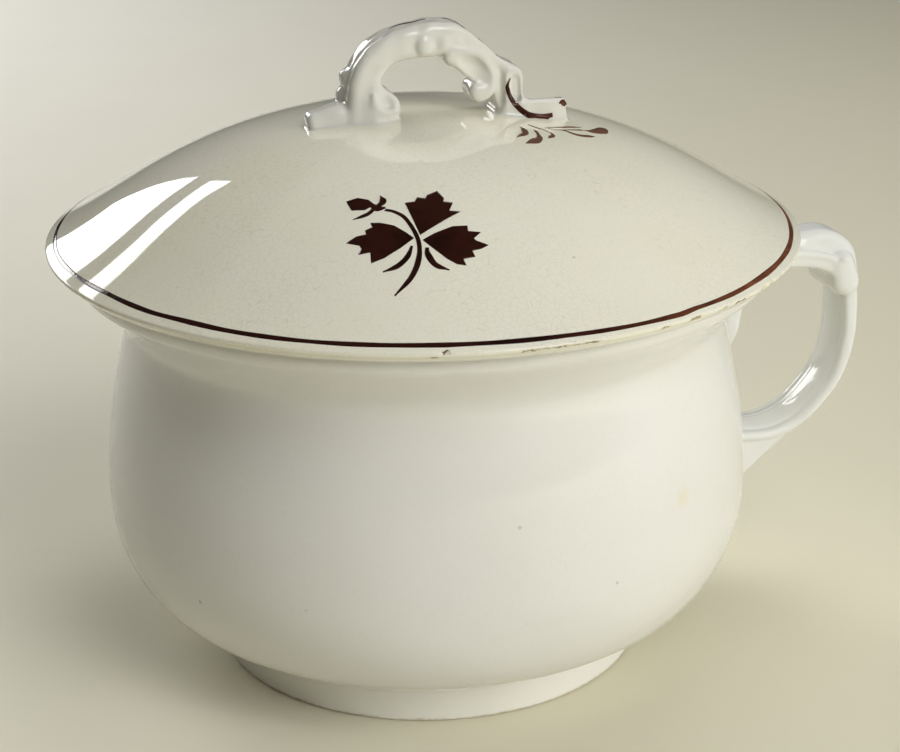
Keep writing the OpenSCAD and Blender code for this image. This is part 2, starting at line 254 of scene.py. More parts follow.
def lid_folds(r, turn):
    """How far the soft folds lift the dome at a radius and direction."""
    rise = np.zeros_like(r)
    reach = np.clip((r - 35.0) / 45.0, 0.0, 1.0) * np.clip((EDGE_R - r) / 4.0, 0.0, 1.0)
    for direction, lift, width in FOLDS:
        off = (np.degrees(turn) - direction + 180.0) % 360.0 - 180.0
        rise = rise + lift * np.exp(-(off / width) ** 2)
    return rise * reach * reach * (3 - 2 * reach)


def lid_top(x, y):
    """Height of the lid's glazed top over a place on the plan."""
    r = np.hypot(x, y)
    return lid_height(r) + lid_folds(r, np.arctan2(y, x))


def lid_relief(r, z, turn):
    """Lifts the top side of the turned lid by its folds, and chips its edge."""
    top = np.abs(z - lid_height(r)) < 0.01
    lift = np.where(top, lid_folds(r, turn), 0.0)
    chipped = np.zeros_like(r)
    for direction, height, long, tall, depth, _ in CHIPS:
        off = (turn - math.radians(direction) + math.pi) % (2 * math.pi) - math.pi
        u = off * EDGE_R / long
        w = (z - height - 0.25 * np.sin(off * 310.0)) / tall
        chipped = np.maximum(chipped, depth * np.exp(-u ** 4 - w ** 2))
    return r - np.where(r > CHIP_IN, chipped, 0.0), z + lift


# Solid modelling of the handles on a grid of signed distances
class Grid:
    """A block of sample points, in millimetres. Fields over it are negative inside a form."""

    def __init__(self, low, high, step):
        self.low = np.array(low, float)
        self.step = step
        self.axes = [np.arange(a, b + step, step) for a, b in zip(low, high)]
        self.x = self.axes[0][:, None, None]
        self.y = self.axes[1][None, :, None]
        self.z = self.axes[2][None, None, :]

    def beside(self, path):
        """Distance to a path in the upright plane, place along it (0 to 1) and side (left is +1)."""
        px, pz = np.meshgrid(self.axes[0], self.axes[2], indexing="ij")
        best = np.full(px.shape, 1e9)
        place = np.zeros(px.shape)
        side = np.ones(px.shape)
        lengths = np.linalg.norm(np.diff(path, axis=0), axis=1)
        starts = np.concatenate([[0.0], np.cumsum(lengths)])
        for a, b, length, start in zip(path[:-1], path[1:], lengths, starts):
            along = (b - a) / length
            dx = px - a[0]
            dz = pz - a[1]
            run = np.clip(dx * along[0] + dz * along[1], 0.0, length)
            away = np.hypot(dx - run * along[0], dz - run * along[1])
            near = away < best
            best = np.where(near, away, best)
            place = np.where(near, (start + run) / starts[-1], place)
            side = np.where(near, np.where(along[0] * dz - along[1] * dx >= 0, 1.0, -1.0), side)
        return best[:, None, :], place[:, None, :], side[:, None, :]

    def bar(self, path, thick, deep, soft=0.6, y=0.0):
        """A bar that follows a path, with a rounded oblong section of given thickness and depth."""
        away, t, _ = self.beside(path)
        a = spread(t, thick) / 2
        b = spread(t, deep) / 2
        r = soft * np.minimum(a, b)
        u = away - (a - r)
        v = np.abs(self.y - y) - (b - r)
        return np.hypot(np.maximum(u, 0), np.maximum(v, 0)) + np.minimum(np.maximum(u, v), 0) - r

    def egg(self, centre, radii, lean=0.0):
        """An ellipsoid, leaned by some degrees in the upright plane."""
        c, s = math.cos(math.radians(lean)), math.sin(math.radians(lean))
        dx = self.x - centre[0]
        dz = self.z - centre[2]
        u = (c * dx + s * dz) / radii[0]
        w = (c * dz - s * dx) / radii[2]
        v = (self.y - centre[1]) / radii[1]
        k = np.sqrt(u * u + v * v + w * w)
        g = np.sqrt((u / radii[0]) ** 2 + (v / radii[1]) ** 2 + (w / radii[2]) ** 2)
        return k * (k - 1.0) / np.maximum(g, 1e-6)

    def pair(self, make, y):
        """The same form on the near and the far side."""
        return np.minimum(make(-y), make(y))

    def disc(self, centre, radius, half, soft):
        """A rounded disc whose axis runs from the near to the far side."""
        u = np.hypot(self.x - centre[0], self.z - centre[1]) - (radius - soft)
        v = np.abs(self.y) - (half - soft)
        return np.hypot(np.maximum(u, 0), np.maximum(v, 0)) + np.minimum(np.maximum(u, v), 0) - soft


def blend(a, b, k):
    """Two forms joined with a soft fillet."""
    h = np.maximum(k - np.abs(a - b), 0.0) / k
    return np.minimum(a, b) - h * h * k / 4


def carve(a, b, k):
    """The first form with the second cut out of it, softly."""
    return -blend(-a, b, k)


def skin(field, grid, smoothing=3):
    """Points and faces of the surface where a field passes through nought (surface nets)."""
    cells = tuple(n - 1 for n in field.shape)
    count = np.zeros(cells)
    total = np.zeros(cells + (3,))
    for axis in range(3):
        others = [k for k in range(3) if k != axis]
        for p in (0, 1):
            for q in (0, 1):
                start = [0, 0, 0]
                start[others[0]] = p
                start[others[1]] = q
                end = list(start)
                end[axis] = 1
                a = field[tuple(slice(s, s + n) for s, n in zip(start, cells))]
                b = field[tuple(slice(s, s + n) for s, n in zip(end, cells))]
                crossed = (a < 0) != (b < 0)
                share = np.where(crossed, a / np.where(crossed, a - b, 1.0), 0.0)
                count += crossed
                total[..., axis] += share
                total[..., others[0]] += crossed * p
                total[..., others[1]] += crossed * q
    active = count > 0
    index = np.full(cells, -1)
    index[active] = np.arange(active.sum())
    points = grid.low + grid.step * (np.argwhere(active) + total[active] / count[active][:, None])
    faces = []
    rounds = {0: [(0, -1, -1), (0, 0, -1), (0, 0, 0), (0, -1, 0)],
              1: [(-1, 0, -1), (-1, 0, 0), (0, 0, 0), (0, 0, -1)],
              2: [(-1, -1, 0), (0, -1, 0), (0, 0, 0), (-1, 0, 0)]}
    inside = field < 0
    for axis, ring in rounds.items():
        first = tuple(slice(0, n - 1) if k == axis else slice(1, n - 1) for k, n in enumerate(field.shape))
        second = tuple(slice(1, n) if k == axis else slice(1, n - 1) for k, n in enumerate(field.shape))
        low = np.array([0 if k == axis else 1 for k in range(3)])
        leaving = inside[first] & ~inside[second]
        entering = ~inside[first] & inside[second]
        for facing, hit in ((True, leaving), (False, entering)):
            at = np.argwhere(hit) + low
            corners = [index[tuple((at + np.array(o)).T)] for o in ring]
            faces.append(np.stack(corners if facing else corners[::-1], -1))
    faces = np.concatenate(faces)
    edges = np.concatenate([faces[:, [0, 1]], faces[:, [1, 2]], faces[:, [2, 3]], faces[:, [3, 0]]])
    weight = np.bincount(edges[:, 0], minlength=len(points))
    for _ in range(smoothing):
        ends = points[edges[:, 1]]
        mean = np.stack([np.bincount(edges[:, 0], ends[:, k], len(points)) for k in range(3)], -1)
        points = 0.5 * points + 0.5 * mean / weight[:, None]
    return points, faces.tolist()


class Profile:
    """Signed distance to a turned body, from a table over radius and height."""

    def __init__(self, outline, low, high, step=0.25):
        self.low = np.array(low, float)
        self.step = step
        grid = Grid((low[0], 0, low[1]), (high[0], 0, high[1]), step)
        away, _, _ = grid.beside(np.concatenate([outline, outline[:1]]))
        r, z = np.meshgrid(grid.axes[0], grid.axes[2], indexing="ij")
        inside = np.zeros(r.shape, bool)
        for a, b in zip(outline, np.roll(outline, -1, axis=0)):
            spans = (a[1] > z) != (b[1] > z)
            rise = b[1] - a[1] if abs(b[1] - a[1]) > 1e-12 else 1e-12
            inside ^= spans & (r < a[0] + (z - a[1]) * (b[0] - a[0]) / rise)
        self.table = np.where(inside, -1.0, 1.0) * away[:, 0, :]

    def at(self, grid):
        """The distance at each point of a handle's grid."""
        r = np.hypot(grid.x, grid.y)
        i = np.clip((r - self.low[0]) / self.step, 0, self.table.shape[0] - 1.001)
        k = np.clip((grid.z - self.low[1]) / self.step, 0, self.table.shape[1] - 1.001)
        i0 = i.astype(int)
        k0 = k.astype(int)
        across = i - i0
        up = k - k0
        low = self.table[i0, k0] * (1 - across) + self.table[i0 + 1, k0] * across
        high = self.table[i0, k0 + 1] * (1 - across) + self.table[i0 + 1, k0 + 1] * across
        return low * (1 - up) + high * up


def rooted(handle, body, fillet, depth=1.3, sink=0.06):
    """A handle with fillets that run into the body it is stuck to, cut off just under that body's skin."""
    base = body + sink
    joined_up = blend(handle, base, fillet)
    return np.maximum(np.maximum(joined_up, handle - fillet * 1.15), -(base + depth))


# Node materials
class Nodes:
    """A material's node tree, with short ways to add to it."""

    def __init__(self, name):
        self.material = bpy.data.materials.new(name)
        self.material.use_nodes = True
        self.tree = self.material.node_tree
        self.shader = self.tree.nodes["Principled BSDF"]
        self.where = self.tree.nodes.new("ShaderNodeTexCoord").outputs["Object"]

    def put(self, socket, value):
        """Links a socket, or sets it to a plain value."""
        if isinstance(value, bpy.types.NodeSocket):
            self.tree.links.new(value, socket)
        else:
            socket.default_value = value

    def noise(self, scale, detail=3.0, rough=0.5, warp=0.0):
        """Soft noise from about 0 to 1."""
        node = self.tree.nodes.new("ShaderNodeTexNoise")
        self.put(node.inputs["Vector"], self.where)
        node.inputs["Scale"].default_value = scale
        node.inputs["Detail"].default_value = detail
        node.inputs["Roughness"].default_value = rough
        node.inputs["Distortion"].default_value = warp
        return node.outputs["Fac"]

    def cells(self, scale, feature, where=None, output="Distance"):
        """Distances or colours of a pattern of cells."""
        node = self.tree.nodes.new("ShaderNodeTexVoronoi")
        node.feature = feature
        self.put(node.inputs["Vector"], where or self.where)
        node.inputs["Scale"].default_value = scale
        return node.outputs[output]

    def math(self, operation, a, b=0.0):
        """Plain sums on one or two values."""
        node = self.tree.nodes.new("ShaderNodeMath")
        node.operation = operation
        self.put(node.inputs[0], a)
        self.put(node.inputs[1], b)
        return node.outputs[0]

    def step(self, value, start, end, low=0.0, high=1.0):
        """A smooth step of a value from start to end."""
        node = self.tree.nodes.new("ShaderNodeMapRange")
        node.interpolation_type = "SMOOTHSTEP"
        self.put(node.inputs["Value"], value)
        node.inputs["From Min"].default_value = start
        node.inputs["From Max"].default_value = end
        node.inputs["To Min"].default_value = low
        node.inputs["To Max"].default_value = high
        return node.outputs["Result"]

    def mix(self, share, a, b):
        """A colour between two colours."""
        node = self.tree.nodes.new("ShaderNodeMix")
        node.data_type = "RGBA"
        self.put(node.inputs["Factor"], share)
        self.put(node.inputs["A"], a if isinstance(a, bpy.types.NodeSocket) else (*a, 1.0))
        self.put(node.inputs["B"], b if isinstance(b, bpy.types.NodeSocket) else (*b, 1.0))
        return node.outputs["Result"]

    def away_from(self, place):
        """Distance in metres from a place."""
        node = self.tree.nodes.new("ShaderNodeVectorMath")
        node.operation = "DISTANCE"
        self.put(node.inputs[0], self.where)
        node.inputs[1].default_value = place
        return node.outputs["Value"]

    def moved(self, amount, scale):
        """The place pushed about by noise."""
        noise = self.tree.nodes.new("ShaderNodeTexNoise")
        self.put(noise.inputs["Vector"], self.where)
        noise.inputs["Scale"].default_value = scale
        push = self.tree.nodes.new("ShaderNodeVectorMath")
        push.operation = "SCALE"
        self.put(push.inputs[0], noise.outputs["Color"])
        push.inputs["Scale"].default_value = amount
        add = self.tree.nodes.new("ShaderNodeVectorMath")
        add.operation = "ADD"
        self.put(add.inputs[0], self.where)
        self.put(add.inputs[1], push.outputs[0])
        return add.outputs[0]

    def axis(self, name):
        """One coordinate of the place, in metres."""
        node = self.tree.nodes.new("ShaderNodeSeparateXYZ")
        self.put(node.inputs[0], self.where)
        return node.outputs[name]

    def radius(self):
        """Distance in metres from the pot's axis."""
        x, y = self.axis("X"), self.axis("Y")
        total = self.math("ADD", self.math("MULTIPLY", x, x), self.math("MULTIPLY", y, y))
        return self.math("SQRT", total)

    def bump(self, height, distance):
        """A surface roughened by a height."""
        node = self.tree.nodes.new("ShaderNodeBump")
        self.put(node.inputs["Height"], height)
        node.inputs["Distance"].default_value = distance
        node.inputs["Strength"].default_value = 1.0
        return node.outputs["Normal"]


# Glaze colours, each with its warmer mottling, and the colours of marks and bare clay; the foot, loop handle
# and branch handle glazes are copies lightened, cooled or darkened as painted light and shade
WHITE = ((0.80, 0.792, 0.742), (0.78, 0.768, 0.708))
CREAM = ((0.83, 0.807, 0.676), (0.81, 0.781, 0.614))
# Paler copy of the glaze for the foot ring: painted light against the shade under the belly
PALE_PAINTED_LIGHT = ((0.90, 0.888, 0.82), (0.87, 0.852, 0.775))
# Cooler copy of the glaze for the loop handle: painted cool window light
COOL_WINDOW_LIGHT = ((0.77, 0.775, 0.735), (0.76, 0.757, 0.70))
# Darker copy of the glaze for the branch handle and flange: painted shade
MILK_PAINTED_SHADE = ((0.72, 0.710, 0.640), (0.70, 0.686, 0.604))
CRAZE = (0.50, 0.45, 0.35)
SPECK = (0.12, 0.085, 0.05)
BODY = (0.74, 0.66, 0.47)
RUST = (0.075, 0.045, 0.02)
STAIN = (0.74, 0.63, 0.32)


def glaze(name, tint, crazing=0.0, wear=None, marks=()):
    """Glossy warm-white glaze: faint mottling, fine crazing, specks and wear down to the clay."""
    n = Nodes(name)
    base, warm = tint
    colour = n.mix(n.step(n.noise(16, 4), 0.38, 0.72), base, warm)
    colour = n.mix(n.step(n.noise(160, 2), 0.35, 0.75, 0.0, 0.22), colour, warm)
    if crazing:
        edge = n.cells(470, "DISTANCE_TO_EDGE", n.moved(0.003, 120))
        fine = n.step(edge, 0.0, 0.05, 1.0, 0.0)
        patch = n.step(n.noise(22, 3), 0.30, 0.70, 0.35, 1.0)
        colour = n.mix(n.math("MULTIPLY", n.math("MULTIPLY", fine, patch), crazing), colour, CRAZE)
    dot = n.step(n.cells(70, "F1"), 0.016, 0.030, 1.0, 0.0)
    rare = n.step(n.cells(70, "F1", output="Color"), 0.80, 0.82)
    colour = n.mix(n.math("MULTIPLY", n.math("MULTIPLY", dot, rare), 0.6), colour, SPECK)
    ragged = n.math("SUBTRACT", n.noise(650, 3, 0.6), 0.5)
    for place, size, mark, depth in marks:
        away = n.math("ADD", n.away_from(Vector(place) * MM), n.math("MULTIPLY", ragged, size * 0.9 * MM))
        spot = n.step(away, size * MM * 0.3, size * MM, depth, 0.0)
        colour = n.mix(spot, colour, mark)
    shine = n.step(n.noise(45, 3), 0.3, 0.7, 0.02, 0.045)
    height = n.noise(30, 2)
    if wear is not None:
        worn, rust = wear(n)
        rusty = n.math("MULTIPLY", n.step(n.noise(520, 3, 0.6), 0.40, 0.56), rust)
        colour = n.mix(worn, colour, n.mix(rusty, BODY, RUST))
        shine = n.math("ADD", shine, n.math("MULTIPLY", worn, 0.5))
        height = n.math("SUBTRACT", height, n.math("MULTIPLY", worn, 1.5))
    n.put(n.shader.inputs["Base Color"], colour)
    n.put(n.shader.inputs["Roughness"], shine)
    n.put(n.shader.inputs["Normal"], n.bump(height, 0.00008))
    n.shader.inputs["IOR"].default_value = 1.52
    return n.material


def lid_wear(n):
    """Bare clay in the chips of the lid's outer edge."""
    ragged = n.math("SUBTRACT", n.noise(700, 4, 0.7), 0.5)
    turn = n.math("ADD", n.math("ARCTAN2", n.axis("Y"), n.axis("X")), n.math("MULTIPLY", ragged, 0.016))
    height = n.math("ADD", n.axis("Z"), n.math("MULTIPLY", ragged, 0.0016))
    bare = None
    rust = None
    for direction, middle, long, tall, _, rusty in CHIPS:
        reach = long / EDGE_R
        along = n.math("ABSOLUTE", n.math("SUBTRACT", turn, math.radians(direction)))
        up = n.math("ABSOLUTE", n.math("SUBTRACT", height, middle * MM))
        chip = n.math("MULTIPLY", n.step(along, reach, reach * 0.7), n.step(up, tall * MM, tall * 0.6 * MM))
        bare = chip if bare is None else n.math("MAXIMUM", bare, chip)
        tone = n.math("MULTIPLY", chip, rusty)
        rust = tone if rust is None else n.math("MAXIMUM", rust, tone)
    return n.math("MULTIPLY", bare, n.step(n.radius(), 0.1180, 0.1190)), rust


def foot_wear(n):
    """Glaze rubbed off the edge that the pot stands on."""
    z = n.axis("Z")
    edge = n.math("ADD", z, n.math("MULTIPLY", n.noise(120, 4), 0.0022))
    return n.step(edge, 0.0026, 0.0010, 0.0, 0.75), 0.5


# Marks in the glaze: place, size, colour and strength
POT_MARKS = [
    ((58.6, -88.0, 76.8), 4.6, STAIN, 0.26),
    ((-66.2, -76.6, 105.8), 0.8, SPECK, 0.30),
    ((1.4, -105.2, 81.6), 0.8, SPECK, 0.35),
    ((33.0, -101.5, 57.6), 0.8, SPECK, 0.35),
    ((-87.2, -59.7, 47.6), 0.9, SPECK, 0.45),
    ((-23.8, -94.7, 124.5), 0.9, SPECK, 0.40),
]
LID_MARKS = [
    ((21.1, -92.5, 158.6), 0.8, SPECK, 0.30),
    ((81.5, -74.2, 149.0), 0.7, SPECK, 0.60),
]
pot_glaze = glaze("pot_glaze", WHITE, 0.08, None, POT_MARKS)
lid_glaze = glaze("lid_glaze", CREAM, 0.34, lid_wear, LID_MARKS)
# Loop handle glaze tinted with painted cool window light
handle_glaze = glaze("handle_glaze", COOL_WINDOW_LIGHT)
# Branch handle and flange glaze darkened with painted shade
knob_glaze = glaze("knob_glaze", MILK_PAINTED_SHADE)
# Foot ring glaze lightened with painted light; its rubbed edge is real wear
foot_glaze = glaze("foot_glaze", PALE_PAINTED_LIGHT, 0.0, foot_wear)


def lustre_paint(name, rubbed=0.0):
    """Dark copper lustre: brown where rubbed, nearly black where it pooled, and with painted light, browner
    to the right where the key light falls.
    """
    n = Nodes(name)
    pooled = n.step(n.noise(55, 4, 0.6, 0.4), 0.36, 0.66)
    streak = n.step(n.noise(420, 3), 0.35, 0.7, 0.0, 0.5)
    # Painted light: near black on the left, turning brown to the right where the key light falls
    key_lit_side = n.step(n.axis("X"), 0.005, 0.095)
    pool = n.mix(key_lit_side, (0.012, 0.0035, 0.0022), (0.085, 0.026, 0.012))
    film = n.mix(key_lit_side, (0.034, 0.0085, 0.0048), (0.24, 0.080, 0.036))
    colour = n.mix(n.math("MULTIPLY", streak, 0.6), n.mix(pooled, film, pool), film)
    colour = n.mix(rubbed, colour, n.mix(streak, (0.22, 0.115, 0.070), (0.12, 0.055, 0.032)))
    n.put(n.shader.inputs["Base Color"], colour)
    n.put(n.shader.inputs["Roughness"], n.step(n.noise(260, 3), 0.3, 0.7, 0.05, 0.12))
    n.shader.inputs["Metallic"].default_value = 0.12
    n.shader.inputs["IOR"].default_value = 1.5
    n.put(n.shader.inputs["Normal"], n.bump(n.noise(600, 2), 0.00004))
    return n.material


lustre = lustre_paint("lustre")
rubbed_lustre = lustre_paint("rubbed_lustre", 0.75)

# The pot's turned bodies
points, faces = turned(bowl_profile, 360, False)
piece("bowl", points, faces, "pot", "glaze", pot_glaze, "pot_bowl")
points, faces = turned(foot_profile, 360, True)
piece("foot", points, faces, "pot", "foot_glaze", foot_glaze, "foot_ring")

# The lid's turned bodies
points, faces = turned(lid_profile, 540, False, lid_relief)
piece("lid", points, faces, "lid", "glaze", lid_glaze, "lid_dome")
dome_under = lid_inside[:UNDER_COUNT]
flange_top = np.interp([FLANGE_IN, FLANGE_OUT], dome_under[:, 0], dome_under[:, 1]) + FLANGE_SINK
flange_profile = joined(
    arc((FLANGE_IN + FLANGE_ROUND, FLANGE_LOW), FLANGE_ROUND, 180, 270, 7),
    arc((FLANGE_OUT - FLANGE_ROUND, FLANGE_LOW), FLANGE_ROUND, 270, 360, 7),
    line((FLANGE_OUT, FLANGE_LOW), (FLANGE_OUT, flange_top[1]), 8),
    line((FLANGE_OUT, flange_top[1]), (FLANGE_IN, flange_top[0]), 3),
    line((FLANGE_IN, flange_top[0]), (FLANGE_IN, FLANGE_LOW), 8),
)[:-1]
points, faces = turned(flange_profile, 240, True)
piece("flange", points, faces, "lid", "glaze", knob_glaze, "lid_flange")

# The pot's loop handle
grid = Grid((95, -15, 40), (158, 15, 136.4), 0.45)
arm = bezier((92, 125), (118.5, 125), (149.8, 129), (149.8, 104.25), 40)
strap = smooth_curve([(149.8, 104.25), (149.8, 95), (148.4, 86), (145, 77.2), (139.3, 69.6), (132.6, 63.3),
                      (125.6, 59.9), (119, 58.8), (111, 59.3), (100, 61)], 60)
loop = joined(arm, strap)
away, t, facing = grid.beside(loop)
out = away * facing
edge_in = spread(t, [4.8, 4.7, 4.4, 3.4, 2.2, 1.7, 0.9, 0.8, 1.0, 1.2])
edge_out = spread(t, [1.4, 1.2, 1.2, 1.4, 1.8, 1.8, 1.7, 1.6, 1.3, 1.3])
crown = spread(t, [0.8, 0.8, 0.9, 1.2, 1.5, 1.6, 1.8, 1.5, 1.0, 0.9])
half = spread(t, [10.8, 10.9, 10.9, 10.7, 10.5, 10.5, 10.6, 10.7, 10.9, 11.1])
across = np.clip(np.abs(grid.y) / half, 0, 1)
furrows = 0.4 * np.exp(-((np.abs(grid.y) - 7.4) / 0.8) ** 2)
ripple = 0.14 * np.cos((grid.y - 2.6) * 2.6) * np.exp(-((grid.y - 2.6) / 2.2) ** 2)
inner = -out - edge_in - (0.7 + crown) * (1 - across ** 2) + furrows + ripple
outer = out - edge_out - crown * (1 - across ** 2)
handle = carve(carve(inner, -outer, 0.8), half - np.abs(grid.y), 1.4)
lean = np.array([24.1, -28.4]) / math.hypot(24.1, 28.4)
under = (grid.x - 112.6) * lean[0] + (grid.z - 45.2) * lean[1]
wedge = carve(carve(under, out + 1.0, 0.8), 9.9 - np.abs(grid.y), 1.2)
wedge = carve(wedge, 67.0 - grid.z, 2.0)
handle = blend(handle, wedge, 0.7)
crest = smooth_curve([(104, 126.6), (118, 126.4), (132, 126.4), (141, 126.4), (147.2, 122.4),
                      (149.2, 115.5)], 40)
leaf = grid.bar(crest, [6.0, 7.0, 7.6, 8.2, 8.0, 7.0], [13.0, 13.0, 13.6, 14.6, 16.0, 18.0], 1.0)
handle = blend(handle, leaf, 4.0)
near_edge = smooth_curve([(108, 125.2), (120, 125.0), (131, 124.2), (139, 122.6), (145, 119.9)], 30)
bead = grid.pair(lambda y: grid.bar(near_edge, [2.2, 2.2], [2.2, 2.2], 1.0, y), 10.2)
handle = blend(handle, bead, 0.9)
knob = grid.bar(smooth_curve([(145.2, 119.4), (146.6, 112.8)], 8), [8.8, 10.2], [24.0, 25.4], 0.80)
handle = blend(handle, knob, 1.3)
pit = grid.pair(lambda y: grid.egg((142.6, y, 121.6), (1.0, 0.9, 0.8)), 12.0)
handle = carve(handle, pit, 0.6)
bump = grid.pair(lambda y: grid.egg((145.4, y, 121.4), (1.5, 1.3, 1.1), -25), 11.2)
handle = blend(handle, bump, 0.9)
for x, y, z, size in ((133.0, 4.8, 127.2, 1.9), (121.0, 5.0, 127.0, 2.0)):
    lobe = grid.pair(lambda at: grid.egg((x, at, z), (size * 1.5, size * 1.3, size), -10), y)
    handle = blend(handle, lobe, 1.8)
tail_path = bezier((106.8, 125), (106.8, 112), (106.4, 100), (103.6, 89), 24)
tail = grid.bar(tail_path, [9.0, 8.4, 7.2, 4.6], [21.6, 20.8, 19.0, 13.0], 0.8)
handle = blend(handle, tail, 2.5)
bowl_skin = Profile(bowl_profile, (88, 36), (126, 141.5))
handle = rooted(handle, bowl_skin.at(grid), 2.0)
points, faces = skin(handle, grid)
piece("loop_handle", points, faces, "pot", "glaze", handle_glaze, "pot_handle")

# The lid's branch handle
grid = Grid((-42, -12, 171), (54, 12, 213.5), 0.4)
arch_path = smooth_curve([(-20, 172), (-19.9, 186), (-19.0, 193.6), (-14.8, 200.0), (-8, 203.4), (1, 204.6),
                          (8, 204.6)], 50)
arch = grid.bar(arch_path, [12.5, 11.4, 10.4, 9.8, 9.6, 10.4, 10.4],
                [14.6, 14.2, 13.4, 13, 13, 13, 13], 0.62)
web_path = smooth_curve([(2, 204.8), (9, 204.4), (16.4, 200.4), (22.6, 195.4), (28.4, 191.8)], 40)
web = grid.bar(web_path, [10.4, 9.6, 7.4, 6.2, 6.2], [13.0, 12.6, 12.2, 12.6, 13.0], 0.5)
branch = blend(arch, web, 1.2)
block_path = smooth_curve([(28.6, 191.8), (28.4, 186), (28.8, 178)], 20)
block = grid.bar(block_path, [6.4, 6.4, 8.0], [14.4, 15.6, 17.6], 0.34)
branch = blend(branch, block, 0.9)
filling_path = smooth_curve([(23.8, 193.6), (24.6, 186), (27.0, 176)], 20)
filling = grid.bar(filling_path, [4.6, 4.6, 4.0], [11.4, 12.2, 13.0], 0.8)
branch = blend(branch, filling, 0.9)
foot_path = smooth_curve([(27, 178.4), (33, 180.0), (39, 180.4), (47.0, 180.2)], 30)
right_foot = grid.bar(foot_path, [7.0, 8.4, 7.8, 7.4], [15.6, 17.4, 17.8, 16.6], 0.36)
blunt = grid.x - 46.0 + 0.12 * (grid.z - 180.0)
right_foot = carve(right_foot, -blunt, 1.0)
falling = (grid.z - 184.2 + 0.42 * (grid.y + 6.0)) / math.hypot(1.0, 0.42)
right_foot = carve(right_foot, -falling, 1.2)
branch = blend(branch, right_foot, 3.0)
leaf_path = smooth_curve([(-17, 180.8), (-27, 181.8), (-35.2, 180.8)], 24)
left_foot = grid.bar(leaf_path, [9.4, 7.8, 5.6], [13.4, 11.6, 9.0], 0.95)
branch = blend(branch, left_foot, 1.4)
for place, size in (((-23.9, 2.5, 193.0), 2.3), ((-24.6, 3.0, 187.2), 2.6)):
    branch = blend(branch, grid.egg(place, (size, size * 1.5, size * 1.2)), 1.6)
scroll = grid.disc((-13.4, 184.2), 5.2, 7.6, 2.4)
branch = blend(branch, scroll, 5.0)
dish = grid.egg((-13.2, -9.3, 187.4), (3.2, 2.8, 4.4), 20)
branch = carve(branch, dish, 1.4)
lip_path = smooth_curve([(-17.4, 189.0), (-16.6, 185.2), (-13.4, 183.2), (-10.6, 183.8)], 30)
lip = grid.bar(lip_path, [0.8, 2.2, 2.4, 1.8], [1.0, 2.2, 2.4, 2.0], 1.0, -7.5)
branch = blend(branch, lip, 1.2)
knot = grid.pair(lambda y: grid.egg((-0.3, y, 203.4), (3.8, 3.0, 3.6)), 5.0)
branch = blend(branch, knot, 0.45)
bud = grid.pair(lambda y: grid.egg((6.0, y, 203.6), (2.5, 2.0, 2.7)), 5.4)
branch = blend(branch, bud, 1.2)
curl_path = smooth_curve([(9.4, 199.8), (13.6, 198.4), (17.4, 195.4), (19.4, 191.2), (19.0, 188.4),
                          (17.6, 187.6)], 40)
curl = grid.bar(curl_path, [7.6, 9.4, 10.2, 9.0, 7.6, 7.2],
                [12.0, 12.0, 12.2, 12.2, 12.0, 12.0], 0.62, -1.6)
branch = blend(branch, curl, 0.7)
spoon = grid.pair(lambda y: grid.egg((15.8, y, 194.6), (7.0, 3.6, 4.2), -42), 8.9)
branch = carve(branch, spoon, 1.2)
split_path = smooth_curve([(24.2, 194.2), (24.6, 190), (24.4, 184)], 24)
split = grid.pair(lambda y: grid.bar(split_path, [1.2, 1.6, 1.6], [2.6, 2.6], 1.0, y), 7.0)
branch = carve(branch, split, 0.9)
panel_path = smooth_curve([(28.9, 190.2), (29.2, 185.4)], 12)
panel = grid.pair(lambda y: grid.bar(panel_path, [3.0, 3.0], [1.6, 1.6], 0.8, y), 7.2)
branch = carve(branch, panel, 1.4)
shoulder = smooth_curve([(-12, 208.2), (-18.8, 203.6), (-24.0, 197.0), (-25.4, 190)], 24)
furrow = grid.bar(shoulder, [1.6, 2.2, 2.2, 1.6], [2.4, 2.4], 1.0, -2.6)
branch = carve(branch, furrow, 1.2)
bark = np.sin(0.62 * grid.x + 0.45 * grid.z) * np.sin(0.55 * grid.z - 0.3 * grid.x + 0.7 * grid.y)
branch = branch + 0.11 * bark * np.clip((grid.z - 184.0) / 5.0, 0.0, 1.0)
lid_skin = grid.z - lid_top(grid.x, grid.y)
branch = rooted(branch, lid_skin, 1.6)
points, faces = skin(branch, grid)
piece("branch_handle", points, faces, "lid", "glaze", knob_glaze, "lid_handle")

# The painted lustre: how far it stands over the glaze and reaches below it
PAINT_UP = 0.10
PAINT_DOWN = 0.25
# The band: its width, the rise of its middle and how far its edges sink
BAND_W = 1.5
BAND_UP = 0.045
BAND_SINK = 0.004


def slab(top, bottom, round_way):
    """Points and faces of a closed slab between two grids of points."""
    rows, cols = top.shape[:2]
    points = np.concatenate([top.reshape(-1, 3), bottom.reshape(-1, 3)])
    index = np.arange(rows * cols).reshape(rows, cols)
    if round_way:
        index = np.concatenate([index, index[:1]])
    low = index + rows * cols
    upper = np.stack([index[:-1, :-1], index[1:, :-1], index[1:, 1:], index[:-1, 1:]], -1)
    lower = np.stack([low[:-1, :-1], low[:-1, 1:], low[1:, 1:], low[1:, :-1]], -1)
    faces = upper.reshape(-1, 4).tolist() + lower.reshape(-1, 4).tolist()
    faces += np.stack([index[:-1, 0], low[:-1, 0], low[1:, 0], index[1:, 0]], -1).tolist()
    faces += np.stack([index[:-1, -1], index[1:, -1], low[1:, -1], low[:-1, -1]], -1).tolist()
    if not round_way:
        faces += np.stack([index[0, :-1], index[0, 1:], low[0, 1:], low[0, :-1]], -1).tolist()
        faces += np.stack([index[-1, :-1], low[-1, :-1], low[-1, 1:], index[-1, 1:]], -1).tolist()
    return points, faces


def waver(turn, waves, seed):
    """A hand's unsteadiness round a circle, between about -1 and 1."""
    rng = np.random.default_rng(seed)
    total = np.zeros_like(turn)
    for k in waves:
        total += np.sin(k * turn + rng.uniform(0, 2 * math.pi)) * rng.uniform(0.5, 1.0)
    return total / len(waves) ** 0.5


turn = np.linspace(0, 2 * math.pi, 900, endpoint=False)
